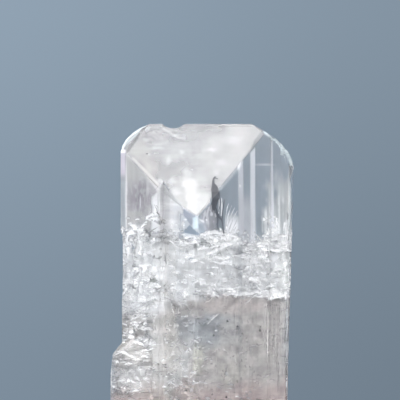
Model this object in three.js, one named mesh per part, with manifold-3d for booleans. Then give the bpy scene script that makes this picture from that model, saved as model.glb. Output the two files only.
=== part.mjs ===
// A danburite crystal: one colourless, chisel-tipped prism with terraced, striated sides, ragged
// ledges round its lower part and a broken, flat foot.
// Millimetres, +Z up along the prism, the ridge of the tip along X, the front towards -Y.
// The origin is in the middle of the outline, on the flat base.
import * as THREE from "three";
import { mergeVertices } from "three/addons/utils/BufferGeometryUtils.js";
import Module from "manifold-3d";

const wasm = await Module();
wasm.setup();

// ---- The crystal's forms: how far each face turns from the front or the back, in degrees ----
const WIDE = 28.6;
const STEEP = 47.5;
const GROOVE = 52.6;
const CORNER = 62;
const RISER = 66;
const SIDE = 90;

// ---- Driving sizes, measured from the ridge's line, y, and from the base, z ----
const HEIGHT = 50;
const FRONT_SLOPE = 46.5; // the large sloping face of the tip, from level
const BACK_SLOPE = 62.5; // the steeper one behind the ridge
const HALF_WIDTH = 11;
const RIGHT_SIDE_LEAN = 1.6; // the right side draws in towards the base

// ---- The outline of the prism, walked outwards from the front edge and from the back edge ----
// Each step is a face's turn and the x it reaches, or, for a riser turned SIDE, its depth. A face with
// a turn under zero comes forward again, beyond a groove.
const FRONT_EDGE = [-1.33, -11.2];
const BACK_EDGE = [-1.2, 9.9];
const FRONT_RIGHT = [
  [STEEP, 3.87], [RISER, 4.5], [STEEP, 5.38], [RISER, 5.95], [STEEP, 6.6], [WIDE, 7.85], [RISER, 8.15],
  [WIDE, 9.2], [STEEP, 9.35], [WIDE, 10.27], [CORNER, HALF_WIDTH],
];
const FRONT_LEFT = [
  [WIDE, -2.98], [GROOVE, -5.6], [-RISER, -6.15], [STEEP, -7.7], [SIDE, 0.1], [STEEP, -9.1],
  [WIDE, -9.35], [STEEP, -10.3], [CORNER, -HALF_WIDTH],
];
const BACK_RIGHT = [
  [WIDE, 1.5], [STEEP, 1.7], [WIDE, 4.4], [SIDE, 0.12], [WIDE, 7.6], [STEEP, 7.8], [WIDE, HALF_WIDTH],
];
const BACK_LEFT = [
  [WIDE, -4.0], [STEEP, -4.3], [WIDE, -6.2], [STEEP, -8.4], [WIDE, -8.8], [STEEP, -10.4],
  [CORNER, -HALF_WIDTH],
];

// ---- Layers: each ends downwards in a ragged ledge, and the next lies deeper by its insets ----
const LAYERS = [
  { bottom: 35.4, slope: -0.11, inset: { front: 0, right: 0, back: 0, left: 0 } },
  { bottom: 28.3, slope: 0.0, inset: { front: 0.4, right: 0.06, back: 0.2, left: 0.38 } },
  { bottom: 16.9, slope: 0.09, inset: { front: 0.85, right: 0.1, back: 0.45, left: 0.24 } },
  { bottom: -1, slope: 0, inset: { front: 1.15, right: 0.12, back: 0.6, left: 0.05 } },
];
const RAGGED_CELL = 1.3; // size of the teeth of a ledge
const RAGGED_HEIGHT = 0.75;

// ---- Shoulders of the tip: faces of one turn, each through two neighbouring points ----
const SHOULDERS = [
  { turn: SIDE, points: [[5.64, 0, 50], [7.54, 0, 48.9], [9.1, 0, 47.9], [10.3, 0, 46.5], [11, 0, 44.9]] },
  { turn: CORNER, points: [[7.3, -1.4, 48.6], [9.6, 0.27, 46.5], [10.3, 0.65, 45.3]] },
  { turn: -SIDE, points: [[-7.4, 0, 50], [-9, 0, 49.3], [-10.2, 0, 48.3], [-10.8, 0, 47.3], [-11, 0, 46.5]] },
  { turn: -CORNER, points: [[-8.5, -0.9, 49.1], [-9.66, -2.18, 47.7], [-10.25, -3.3, 46.5]] },
];

// ---- The small parallel crystal grown onto the lower left ----
const SIDE_CRYSTAL = {
  front: [-8.6, -7.2],
  right: [[STEEP, -5]],
  left: [[WIDE, -9.8], [STEEP, -11.6], [CORNER, -12.3]],
  back: [-8.0, 4.3],
  backRight: [[WIDE, -5]],
  backLeft: [[WIDE, -9.8], [STEEP, -11.4], [CORNER, -12.3]],
  end: [[-10.4, 0, 22.6], [-11.3, 0, 21.8], [-12.0, 0, 20.9], [-12.3, 0, 18.2]],
};
const SIDE_CRYSTAL_FRONT = { point: [-9.5, -5.4, 21.4], normal: [-0.15, -0.72, 0.69] };

// ---- Shell-shaped chips off the edges: centre, radii and tilt about X, in degrees ----
const CHIPS = [
  { at: [-4.35, -0.3, 51.15], radii: [1.9, 1.6, 1.75], tilt: 25 }, // the notch in the ridge
  { at: [-6.6, -2.1, 48.3], radii: [2.6, 0.5, 1.5], tilt: -42 }, // the scar under it
  { at: [-11.9, -1.6, 36.0], radii: [1.1, 2.4, 2.2], tilt: 0 },
  { at: [-1.7, -12.3, 34.4], radii: [3.4, 1.9, 1.9], tilt: -12 },
  { at: [-1.5, -12.6, 21.3], radii: [2.9, 2.4, 1.2], tilt: 14 },
  { at: [-1.2, -12.4, 6.4], radii: [2.6, 2.2, 3.4], tilt: 0 },
  { at: [-1.4, 11.2, 22.6], radii: [3.0, 2.3, 3.1], tilt: 8 },
  { at: [11.5, 4.7, 12.5], radii: [2.4, 2.5, 3.0], tilt: 0 },
];
const BASE_CHIPS = {
  count: 9, size: 2.6, reach: [11.2, 10.5], middle: -0.7, drop: 1.4, flatness: 0.8, seed: 7,
};

const DEGREE = Math.PI / 180;
const BLOCK = 200; // larger than the crystal every way

// A repeatable number from 0 to 1 for a place on a grid.
function noise(i, j, seed) {
  const wave = Math.sin(i * 127.1 + j * 311.7 + seed * 74.7) * 43758.5453;
  return wave - Math.floor(wave);
}

// ---- Between three.js geometry and solids ----
function solid(geometry) {
  const bare = geometry.clone();
  bare.deleteAttribute("normal");
  bare.deleteAttribute("uv");
  const merged = mergeVertices(bare, 1e-4);
  return new wasm.Manifold(
    new wasm.Mesh({
      numProp: 3,
      vertProperties: new Float32Array(merged.attributes.position.array),
      triVerts: new Uint32Array(merged.index.array),
    }),
  );
}

function geometryOf(made) {
  const mesh = made.getMesh();
  const geometry = new THREE.BufferGeometry();
  geometry.setAttribute("position", new THREE.BufferAttribute(mesh.vertProperties, 3));
  geometry.setIndex(new THREE.BufferAttribute(mesh.triVerts, 1));
  const flat = geometry.toNonIndexed();
  flat.computeVertexNormals();
  return flat;
}

// Everything behind a plane through point whose outward normal is given.
function halfSpace(normal, point) {
  const outward = new THREE.Vector3(...normal).normalize();
  const block = new THREE.BoxGeometry(BLOCK, BLOCK, BLOCK);
  block.translate(0, 0, -BLOCK / 2);
  block.applyQuaternion(new THREE.Quaternion().setFromUnitVectors(new THREE.Vector3(0, 0, 1), outward));
  block.translate(...point);
  return solid(block);
}

// ---- The prism ----
// The corners of one quarter of an outline, walked from a front (1) or back (-1) edge outwards.
function walk(start, steps, towardsMiddle) {
  const corners = [new THREE.Vector2(...start)];
  for (const [turn, reach] of steps) {
    const { x, y } = corners[corners.length - 1];
    const next =
      turn === SIDE
        ? new THREE.Vector2(x, y + towardsMiddle * reach)
        : new THREE.Vector2(reach, y + towardsMiddle * Math.abs(reach - x) * Math.tan(turn * DEGREE));
    corners.push(next);
  }
  return corners;
}

function outline(front, frontRight, frontLeft, back, backRight, backLeft) {
  return [
    ...walk(front, frontRight, 1),
    ...walk(back, backRight, -1).reverse(),
    ...walk(back, backLeft, -1).slice(1),
    ...walk(front, frontLeft, 1).slice(1).reverse(),
  ];
}

function prism(corners) {
  return solid(new THREE.ExtrudeGeometry(new THREE.Shape(corners), { depth: HEIGHT, bevelEnabled: false }));
}

// What a prism keeps when its faces on each side move inwards, still parallel to themselves.
function setIn(corners, { front, right, back, left }) {
  const moves = [[0, front], [-right, 0], [0, -back], [left, 0]];
  return moves
    .map(([x, y]) => prism(corners.map((corner) => new THREE.Vector2(corner.x + x, corner.y + y))))
    .reduce((rest, moved) => rest.intersect(moved));
}

// Everything above a ragged, sloping surface.
function aboveRagged(bottom, slope, seed) {
  const cells = Math.round((5 * HALF_WIDTH) / RAGGED_CELL);
  const box = new THREE.BoxGeometry(5 * HALF_WIDTH, 5 * HALF_WIDTH, BLOCK, cells, cells, 1);
  const place = box.attributes.position;
  for (let i = 0; i < place.count; i++) {
    if (place.getZ(i) > 0) continue;
    const [x, y] = [place.getX(i), place.getY(i)];
    const column = Math.round(x / RAGGED_CELL);
    const row = Math.round(y / RAGGED_CELL);
    place.setZ(i, -BLOCK / 2 + slope * x + RAGGED_HEIGHT * (noise(column, row, seed) - 0.5) * 2);
  }
  box.translate(0, 0, BLOCK / 2 + bottom);
  return solid(box);
}

function layeredPrism() {
  const corners = outline(FRONT_EDGE, FRONT_RIGHT, FRONT_LEFT, BACK_EDGE, BACK_RIGHT, BACK_LEFT);
  const layers = LAYERS.map(({ bottom, slope, inset }, i) =>
    setIn(corners, inset).intersect(aboveRagged(bottom, slope, i + 1)),
  );
  const leaning = [Math.cos(RIGHT_SIDE_LEAN * DEGREE), 0, -Math.sin(RIGHT_SIDE_LEAN * DEGREE)];
  return layers.reduce((whole, layer) => whole.add(layer)).intersect(halfSpace(leaning, [HALF_WIDTH, 0, 44]));
}

// ---- The tip ----
// One face for each pair of neighbouring points, its normal turned from the front.
function shoulderFaces(turn, points) {
  const [nx, ny] = [Math.sin(turn * DEGREE), -Math.cos(turn * DEGREE)];
  return points.slice(1).map(([x1, y1, z1], i) => {
    const [x0, y0, z0] = points[i];
    const rise = (nx * (x1 - x0) + ny * (y1 - y0)) / (z0 - z1);
    return halfSpace([nx, ny, rise], points[i]);
  });
}

// The two faces that meet at the ridge.
function domeFaces() {
  const slopes = [-FRONT_SLOPE, BACK_SLOPE];
  return slopes.map((slope) => {
    const [run, rise] = [Math.sin(slope * DEGREE), Math.cos(slope * DEGREE)];
    return halfSpace([0, run, rise], [0, 0, HEIGHT]);
  });
}

function sideCrystal() {
  const { front, right, left, back, backRight, backLeft, end } = SIDE_CRYSTAL;
  const cuts = [...shoulderFaces(-SIDE, end), halfSpace(SIDE_CRYSTAL_FRONT.normal, SIDE_CRYSTAL_FRONT.point)];
  const whole = prism(outline(front, right, left, back, backRight, backLeft));
  return cuts.reduce((rest, cut) => rest.intersect(cut), whole);
}

// ---- Damage ----
function chip({ at, radii, tilt }) {
  const scoop = new THREE.IcosahedronGeometry(1, 3);
  scoop.scale(...radii);
  scoop.rotateX(tilt * DEGREE);
  scoop.translate(...at);
  return solid(scoop);
}

// Chips along the edge of the base, placed on an ellipse just outside it.
function baseChips() {
  const { count, size, reach, middle, drop, flatness, seed } = BASE_CHIPS;
  return Array.from({ length: count }, (_, i) => {
    const angle = (i + 0.7 * noise(i, 0, seed)) * (360 / count) * DEGREE;
    const wide = size * (0.7 + 0.6 * noise(i, 1, seed));
    const at = [reach[0] * Math.cos(angle), middle + reach[1] * Math.sin(angle), -drop];
    return chip({ at, radii: [wide, wide, wide * flatness], tilt: 30 * (noise(i, 2, seed) - 0.5) });
  });
}

function danburite() {
  const shoulders = SHOULDERS.flatMap(({ turn, points }) => shoulderFaces(turn, points));
  const tipped = [...domeFaces(), ...shoulders].reduce((rest, cut) => rest.intersect(cut), layeredPrism());
  const grown = tipped.add(sideCrystal());
  return [...CHIPS.map(chip), ...baseChips()].reduce((rest, cut) => rest.subtract(cut), grown);
}

const shape = geometryOf(danburite());
shape.computeBoundingBox();
const centre = shape.boundingBox.getCenter(new THREE.Vector3());
shape.translate(-centre.x, -centre.y, -shape.boundingBox.min.z);

const material = new THREE.MeshStandardMaterial({ color: 0xe4e3e4, roughness: 0.12, metalness: 0 });
const crystal = new THREE.Mesh(shape, material);
crystal.name = "crystal";

const part = new THREE.Group();
part.add(crystal);
export default part;
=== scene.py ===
# A clear danburite crystal, dressed for Blender: the body in glass, with what lies inside it.
# Sizes are in millimetres until a mesh is made, x and y from the middle of the ridge's line.
import math

import bpy
import numpy as np
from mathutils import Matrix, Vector
from mathutils.bvhtree import BVHTree
from mathutils.geometry import delaunay_2d_cdt


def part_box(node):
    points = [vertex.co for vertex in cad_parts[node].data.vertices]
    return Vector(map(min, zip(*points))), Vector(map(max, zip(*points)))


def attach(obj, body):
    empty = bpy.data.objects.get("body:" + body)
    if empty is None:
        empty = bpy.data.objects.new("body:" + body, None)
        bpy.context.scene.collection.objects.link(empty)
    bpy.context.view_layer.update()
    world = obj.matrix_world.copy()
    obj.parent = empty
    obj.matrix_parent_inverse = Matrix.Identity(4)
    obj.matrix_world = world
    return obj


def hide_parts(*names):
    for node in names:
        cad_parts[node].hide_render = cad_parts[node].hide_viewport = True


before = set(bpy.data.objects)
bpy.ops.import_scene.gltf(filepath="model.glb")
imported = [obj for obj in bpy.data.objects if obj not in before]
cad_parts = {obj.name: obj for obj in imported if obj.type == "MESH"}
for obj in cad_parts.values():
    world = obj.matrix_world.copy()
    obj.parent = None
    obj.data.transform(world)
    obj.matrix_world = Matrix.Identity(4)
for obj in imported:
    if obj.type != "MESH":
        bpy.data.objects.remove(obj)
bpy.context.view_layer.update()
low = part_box("crystal")[0]

MM = 0.001
HEIGHT = 50.0
HALF = 11.0  # half the width of the main prism
SHARP = 14.0  # degrees between faces from which an edge is shaded sharp
LEFTMOST, FOREMOST = -12.3, -11.2  # the plan's least x and y
SHIFT = np.array([low[0] / MM - LEFTMOST, low[1] / MM - FOREMOST, 0.0])  # to the frame's middle
PIXEL = 0.127  # millimetres per pixel of the photograph
PICTURE = 400  # the photograph's width and height in pixels
RIDGE = (207.5, 124.0)  # the pixel that shows the middle of the ridge
DISTANCE = 700.0  # from the camera to the frame's middle


def at_pixel(px, py):
    """x and z of the point that the photograph shows at this pixel."""
    return (px - RIDGE[0]) * PIXEL, HEIGHT - (py - RIDGE[1]) * PIXEL


def table(text):
    """A table's entries, parted by line ends or semicolons: each a list of words and numbers."""
    entries = [entry.split() for line in text.splitlines() for entry in line.split("#")[0].split(";")]
    return [[cell if cell.isalpha() else float(cell) for cell in cells] for cells in entries if cells]


# ---- The prism's outline, as in the solid: each step is a face's turn and the x it reaches ----
WIDE, STEEP, GROOVE, CORNER, RISER, SIDE = 28.6, 47.5, 52.6, 62.0, 66.0, 90.0
FRONT_EDGE = (-1.33, -11.2)
BACK_EDGE = (-1.2, 9.9)
FRONT_RIGHT = [
    (STEEP, 3.87), (RISER, 4.5), (STEEP, 5.38), (RISER, 5.95), (STEEP, 6.6), (WIDE, 7.85), (RISER, 8.15),
    (WIDE, 9.2), (STEEP, 9.35), (WIDE, 10.27), (CORNER, HALF),
]
FRONT_LEFT = [
    (WIDE, -2.98), (GROOVE, -5.6), (-RISER, -6.15), (STEEP, -7.7), (SIDE, 0.1), (STEEP, -9.1),
    (WIDE, -9.35), (STEEP, -10.3), (CORNER, -HALF),
]
BACK_RIGHT = [(WIDE, 1.5), (STEEP, 1.7), (WIDE, 4.4), (SIDE, 0.12), (WIDE, 7.6), (STEEP, 7.8), (WIDE, HALF)]
BACK_LEFT = [
    (WIDE, -4.0), (STEEP, -4.3), (WIDE, -6.2), (STEEP, -8.4), (WIDE, -8.8), (STEEP, -10.4), (CORNER, -HALF),
]
RIGHT_SIDE_LEAN = math.tan(math.radians(1.6))

# ---- The tip: planes, each an outward normal and a point ----
FRONT_SLOPE, BACK_SLOPE = 46.5, 62.5
SHOULDERS = [
    (SIDE, [(5.64, 0, 50), (7.54, 0, 48.9), (9.1, 0, 47.9), (10.3, 0, 46.5), (11, 0, 44.9)]),
    (CORNER, [(7.3, -1.4, 48.6), (9.6, 0.27, 46.5), (10.3, 0.65, 45.3)]),
    (-SIDE, [(-7.4, 0, 50), (-9, 0, 49.3), (-10.2, 0, 48.3), (-10.8, 0, 47.3), (-11, 0, 46.5)]),
    (-CORNER, [(-8.5, -0.9, 49.1), (-9.66, -2.18, 47.7), (-10.25, -3.3, 46.5)]),
]

# ---- The small parallel crystal grown onto the lower left ----
SIDE_OUTLINE = [
    (-8.6, -7.2), (-5, -3.27), (-5, 2.66), (-8, 4.3), (-9.8, 3.32), (-11.4, 1.57), (-12.3, -0.12),
    (-12.3, -3.27), (-11.6, -4.58), (-9.8, -6.55),
]
SIDE_END = [(-10.4, 22.6), (-11.3, 21.8), (-12.0, 20.9), (-12.3, 18.2)]  # x and z
SIDE_FRONT = ((-0.15, -0.72, 0.69), (-9.5, -5.4, 21.4))  # an outward normal and a point


def walk(start, steps, towards_middle):
    """The corners of one quarter of the outline, from the front or back edge outwards."""
    corners = [start]
    for turn, reach in steps:
        x, y = corners[-1]
        if turn == SIDE:
            corners.append((x, y + towards_middle * reach))
        else:
            rise = abs(reach - x) * math.tan(math.radians(turn))
            corners.append((reach, y + towards_middle * rise))
    return corners


def outline():
    """The prism's corners, anticlockwise from the front edge."""
    ring = walk(FRONT_EDGE, FRONT_RIGHT, 1)
    ring += walk(BACK_EDGE, BACK_RIGHT, -1)[::-1]
    ring += walk(BACK_EDGE, BACK_LEFT, -1)[1:]
    ring += walk(FRONT_EDGE, FRONT_LEFT, 1)[1:][::-1]
    return np.array(ring)


def tip_planes():
    """The tip's planes, as outward normals and reaches from the middle of the foot."""
    planes = []
    for slope in (-FRONT_SLOPE, BACK_SLOPE):
        run, rise = math.sin(math.radians(slope)), math.cos(math.radians(slope))
        planes.append(((0, run, rise), (0, 0, HEIGHT)))
    for turn, points in SHOULDERS:
        nx, ny = math.sin(math.radians(turn)), -math.cos(math.radians(turn))
        for (x0, y0, z0), (x1, y1, z1) in zip(points, points[1:]):
            planes.append(((nx, ny, (nx * (x1 - x0) + ny * (y1 - y0)) / (z0 - z1)), (x0, y0, z0)))
    normals = np.array([p[0] for p in planes])
    points = np.array([p[1] for p in planes])
    return normals, (normals * points).sum(1)


NORMALS, REACHES = tip_planes()


def tip_height(x, y):
    """How high the tip's planes let the crystal reach over a point of the plan."""
    z = (REACHES - np.multiply.outer(x, NORMALS[:, 0]) - np.multiply.outer(y, NORMALS[:, 1])) / NORMALS[:, 2]
    return z.min(-1)


# ---- Noise ----
def lattice(i, j, k, seed):
    """A repeatable number from 0 to 1 for a place on a whole-number lattice."""
    h = (i * 374761393 + j * 668265263 + k * 2147483647 + seed * 1274126177) & 0xFFFFFFFF
    h = ((h ^ (h >> 13)) * 1274126177) & 0xFFFFFFFF
    h = ((h ^ (h >> 16)) * 2246822519) & 0xFFFFFFFF
    return ((h ^ (h >> 15)) & 0xFFFFFF) / float(0xFFFFFF)


def noise(x, y, z, seed):
    """Smooth noise from -1 to 1."""
    x, y, z = np.broadcast_arrays(x, y, z)
    i, j, k = (np.floor(v).astype(np.int64) for v in (x, y, z))
    u, v, w = x - i, y - j, z - k
    u, v, w = (t * t * (3 - 2 * t) for t in (u, v, w))
    total = 0
    for a in (0, 1):
        for b in (0, 1):
            for c in (0, 1):
                weight = (u if a else 1 - u) * (v if b else 1 - v) * (w if c else 1 - w)
                total = total + weight * lattice(i + a, j + b, k + c, seed)
    return total * 2 - 1


def rough(x, y, z, seed, octaves):
    """Noise of several sizes, each half as large and as strong as the last."""
    total, size = 0, 1.0
    for n in range(octaves):
        total = total + size * noise(x * 2**n, y * 2**n, z * 2**n, seed + n)
        size *= 0.5
    return total


def ramp(value, start, end):
    """0 up to the start, 1 from the end, and smooth between."""
    t = np.clip((value - start) / (end - start), 0, 1)
    return t * t * (3 - 2 * t)


# ---- Meshes ----
def make_piece(name, verts, faces):
    mesh = bpy.data.meshes.new(name)
    mesh.from_pydata([tuple(v) for v in (np.asarray(verts) + SHIFT) * MM], [], faces)
    mesh.validate()
    mesh.update()
    mesh.shade_smooth()
    mesh.set_sharp_from_angle(angle=math.radians(SHARP))
    piece = bpy.data.objects.new(name, mesh)
    bpy.context.scene.collection.objects.link(piece)
    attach(piece, "root")
    return piece


def joined(parts):
    verts, faces, start = [], [], 0
    for v, f in parts:
        verts.append(v)
        faces += [tuple(i + start for i in face) for face in f]
        start += len(v)
    return np.concatenate(verts), faces


# ---- The body ----
COLUMN, ROW = 0.22, 0.26  # its mesh's spacing
LEDGES = [
    # mean z, slope in x, unevenness, then how far in the faces lie below it: front, right, back, left
    (35.4, -0.11, 0.75, (0.14, 0.06, 0.14, 0.22)),
    (28.3, 0.0, 0.6, (0.85, 0.1, 0.45, 0.12)),
    (16.9, 0.09, 0.75, (1.15, 0.12, 0.6, 0.05)),
]
GENTLE, ABRUPT = 1.6, 0.3  # the drops over which the faces step in below a ledge
MIDDLE = np.array([0.0, -0.5])
WAIST = 1.0  # y of the plan's widest line
LEAN_START = 44  # z below which the right side draws in


def ring_points():
    corners = outline()
    points = []
    for a, b in zip(corners, np.roll(corners, -1, axis=0)):
        steps = max(1, int(np.ceil(np.linalg.norm(b - a) / COLUMN)))
        points += [a + (b - a) * t / steps for t in range(steps)]
    return np.array(points)


def band(a, b, n, turned=False):
    """Faces between two closed rows of n points, the rows' first points being a and b."""
    faces = [(a + i, a + (i + 1) % n, b + (i + 1) % n, b + i) for i in range(n)]
    return [(p, s, r, q) for p, q, r, s in faces] if turned else faces


def tube(count, n, turned=False):
    """Faces between closed rows of n points."""
    return [face for r in range(count - 1) for face in band(r * n, (r + 1) * n, n, turned)]


def from_middle(x, y):
    return np.hypot(x - MIDDLE[0], y - MIDDLE[1])


def set_in(x, y, former, inset, drop):
    """The point, moved in from a ledge's inset to the next; drop is how far it lies under the ledge."""
    gentle, abrupt = np.clip(drop / GENTLE, 0, 1), np.clip(drop / ABRUPT, 0, 1)
    front, right, back, left = (
        a + (b - a) * share for a, b, share in zip(former, inset, (gentle, abrupt, gentle, abrupt))
    )
    x = x * (1 - np.where(x > 0, right, left) / HALF)
    before, behind = front / (WAIST - FRONT_EDGE[1]), back / (BACK_EDGE[1] - WAIST)
    return x, WAIST + (y - WAIST) * (1 - np.where(y < WAIST, before, behind))


def ledge_height(k, x, y):
    z0, slope, uneven, _ = LEDGES[k]
    wavy = uneven * 0.8 * rough(x * 0.55, y * 0.55, np.full(np.shape(x), k * 7.3), 20 + k, 3)
    ragged = 0.16 * rough(x * 1.5, y * 1.5, np.full(np.shape(x), k * 5.1), 24 + k, 3)
    return z0 + slope * x + wavy + ragged


def side_planes():
    """The side crystal's faces, as outward normals and reaches from the middle."""
    ring = np.array(SIDE_OUTLINE)
    planes = []
    for a, b in zip(ring, np.roll(ring, -1, axis=0)):
        e = b - a
        planes.append((e[1], -e[0], 0, e[1] * a[0] - e[0] * a[1]))
    for (x0, z0), (x1, z1) in zip(SIDE_END, SIDE_END[1:]):
        nz = (x0 - x1) / (z0 - z1)
        planes.append((-1, 0, nz, -x0 + nz * z0))
    n, p = SIDE_FRONT
    planes.append((*n, sum(a * b for a, b in zip(n, p))))
    planes = np.array(planes)
    centre = np.array([-9.0, 0.0, 5.0])  # a point inside it
    flip = np.sign(planes[:, 3] - planes[:, :3] @ centre)
    return planes * flip[:, None]


SIDE_PLANES = side_planes()


def with_side_crystal(x, y, z):
    """The point, or where its ray from the middle leaves the side crystal, if that is farther out."""
    dx, dy = x - MIDDLE[0], y - MIDDLE[1]
    enter, leave = np.zeros(x.shape), np.full(x.shape, 10.0)
    for a, b, c, d in SIDE_PLANES:
        speed = a * dx + b * dy
        room = d - a * MIDDLE[0] - b * MIDDLE[1] - c * z
        t = room / np.where(np.abs(speed) < 1e-9, 1e-9, speed)
        leave = np.where(speed > 0, np.minimum(leave, t), leave)
        enter = np.where(speed < 0, np.maximum(enter, t), enter)
        leave = np.where((np.abs(speed) < 1e-9) & (room < 0), -1, leave)
    grow = np.where((leave > enter) & (leave > 1), leave, 1)
    return MIDDLE[0] + dx * grow, MIDDLE[1] + dy * grow


def shingles(along, z, period, depth, seed):
    """Overlapping, ragged ledges: how far each point lies under their edges."""
    level = z / period + 1.1 * rough(along * 0.13, z * 0.12, 0 * z, seed, 4)
    part = level - np.floor(level)
    size = 0.45 + 0.55 * noise(along * 0.15, np.floor(level), 0 * z, seed + 8) ** 2
    return depth * size * (1 - part)


def relief(along, x, y, z, layer):
    """How far the surface lies under the faces' planes: ledges, pits and fine upright lines."""
    broken = (layer > 0) * ramp(z, -0.2, 0.4)
    edge = 1 - np.maximum(ramp(x, 7.8, 9.6), 0.8 * ramp(x, -8.8, -10.6))
    calm = ramp(x, 1.5, 5) * ramp(y, 2.5, 0.5) * ramp(z, 28.6, 27.8)  # the smoother lower right
    calm = np.maximum(calm, 0.7 * ramp(np.abs(x - 0.5), 5.5, 3.5) * ramp(y, -8, -10) * ramp(z, 28.4, 29.2))
    torn = shingles(along, z, 2.6, 0.05, 31) + shingles(along + 40, z, 1.1, 0.012, 51)
    pits = np.maximum(0, rough(x * 0.7, y * 0.7, z * 0.9, 37, 2) - 0.3) * 0.06
    lines = np.maximum(0, rough(along * 2.6, z * 0.03, 0 * z, 41, 2)) * 0.04
    return broken * (edge * (torn * (1 - 0.8 * calm) + pits * (1 - calm)) + lines * (1 + calm))


def body():
    """The outside: closed rows of points from the tip's edge down, the tip's faces, and the foot."""
    ring = ring_points()
    n = len(ring)
    x, y = ring.T
    along = np.concatenate([[0], np.cumsum(np.linalg.norm(np.diff(ring, axis=0), axis=1))])
    rows = []
    upper = tip_height(x, y)
    insets = [(0, 0, 0, 0)] + [ledge[3] for ledge in LEDGES]
    for layer, inset in enumerate(insets):
        lower = ledge_height(layer, x, y) if layer < len(LEDGES) else np.zeros(n)
        lower = np.minimum(lower, upper - 0.05)
        count = max(2, int(np.ceil((upper - lower).mean() / ROW)))
        for r in range(count + 1):
            z = upper + (lower - upper) * r / count
            px, py = set_in(x, y, insets[max(layer - 1, 0)], inset, upper - z)
            px = np.minimum(px, HALF - np.maximum(0, LEAN_START - z) * RIGHT_SIDE_LEAN)
            px, py = with_side_crystal(px, py, z)
            depth = relief(along, px, py, z, layer)
            if layer == 1:
                depth = depth * np.clip((upper - z) / 1.5, 0, 1)
            shrink = 1 - depth / from_middle(px, py)
            spot = [MIDDLE[0] + (px - MIDDLE[0]) * shrink, MIDDLE[1] + (py - MIDDLE[1]) * shrink, z]
            rows.append(np.stack(spot, 1))
        upper = lower
    verts = np.concatenate(rows)
    tip_points, tip_faces = tip_cap(ring, len(verts))
    foot = tuple(range(len(verts) - n, len(verts)))[::-1]
    return np.concatenate([verts, tip_points]), tube(len(rows), n, turned=True) + tip_faces + [foot]


# shell-shaped chips at the tip: middle, half sizes, and tilt in degrees
CHIPS = [
    ((-4.35, -0.3, 51.15), (1.9, 1.6, 1.75), 25),
    ((-6.6, -2.1, 48.3), (2.6, 0.5, 1.5), -42),
]


def notch(x, y, z):
    """The tip's height once the chips are out of it: where a vertical line leaves each at the bottom."""
    for (cx, cy, cz), (rx, ry, rz), tilt in CHIPS:
        c, s = math.cos(math.radians(tilt)), math.sin(math.radians(tilt))
        u, v = (x - cx) / rx, y - cy
        a = (s / ry) ** 2 + (c / rz) ** 2
        b = v * c * s * (1 / ry**2 - 1 / rz**2)
        k = u**2 + (v * c / ry) ** 2 + (v * s / rz) ** 2 - 1
        inside = b * b - a * k
        bottom = cz + (-b - np.sqrt(np.maximum(inside, 0))) / a
        z = np.where((inside > 0) & (bottom < z), bottom, z)
    return z


def tip_cap(ring, start):
    """The tip's faces: a fine mesh round the chips and along the ridge, a coarser one elsewhere."""
    n = len(ring)
    coarse = np.mgrid[-10.8:10.8:0.36, -11:9.7:0.36].reshape(2, -1).T
    fine = np.mgrid[-9.4:-2.0:0.13, -3.9:1.6:0.13].reshape(2, -1).T
    cx, cy = coarse.T
    outside = (cx < -9.5) | (cx > -1.9) | (cy < -4) | (cy > 1.7)
    ridge = np.stack([np.arange(-10.6, 10.6, 0.13), np.zeros(164)], 1)
    points = [Vector(p) for p in np.concatenate([ring, coarse[outside], fine, ridge])]
    edges = [(i, (i + 1) % n) for i in range(n)]
    pts, _, tris, orig, _, _ = delaunay_2d_cdt(points, edges, [list(range(n))], 1, 1e-5)
    index, tip = {}, []
    for i, p in enumerate(pts):
        source = [s for s in orig[i] if s < n]
        index[i] = source[0] if source else start + len(tip)
        if not source:
            x, y = np.array(p.x), np.array(p.y)
            tip.append((p.x, p.y, float(notch(x, y, tip_height(x, y)))))
    return np.array(tip), [tuple(index[k] for k in t) for t in tris]


# ---- Places under the surface ----
BODY = body()
SKIN = BVHTree.FromPolygons([Vector(v) for v in BODY[0]], BODY[1])


def under(starts, ways, depth):
    """Where rays meet the crystal's surface, and a depth farther along them."""
    out = np.empty(starts.shape)
    for i, (start, way, deep) in enumerate(zip(starts, ways, depth)):
        hit = SKIN.ray_cast(Vector(start), Vector(way))[0]
        if hit is None:
            hit = SKIN.find_nearest(Vector(start + way * np.dot(-start, way)))[0]
        out[i] = np.array(hit) + way * deep
    return out


def front(px, py, depth):
    """Points behind the front surface, at pixels of the photograph."""
    px, py, depth = (v.ravel() for v in np.broadcast_arrays(np.asarray(px, float), py, depth))
    x, z = at_pixel(px, py)
    eye_x, eye_z = at_pixel(PICTURE / 2, PICTURE / 2)
    eye = np.array([eye_x, -DISTANCE - SHIFT[1], eye_z])
    ways = np.stack([x, np.full(len(x), -SHIFT[1]), z], 1) - eye
    ways /= np.linalg.norm(ways, axis=1)[:, None]
    return under(np.broadcast_to(eye, ways.shape), ways, depth)


def around(angle, z, depth):
    """Points under the surface at angles, in degrees, round the middle."""
    angle, z, depth = (v.ravel() for v in np.broadcast_arrays(np.asarray(angle, float), z, depth))
    rad = np.radians(angle)
    ways = np.stack([-np.cos(rad), -np.sin(rad), np.zeros(len(rad))], 1)
    starts = np.stack([np.full(len(rad), MIDDLE[0]), np.full(len(rad), MIDDLE[1]), z], 1) - ways * 30
    return under(starts, ways, depth)


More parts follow.
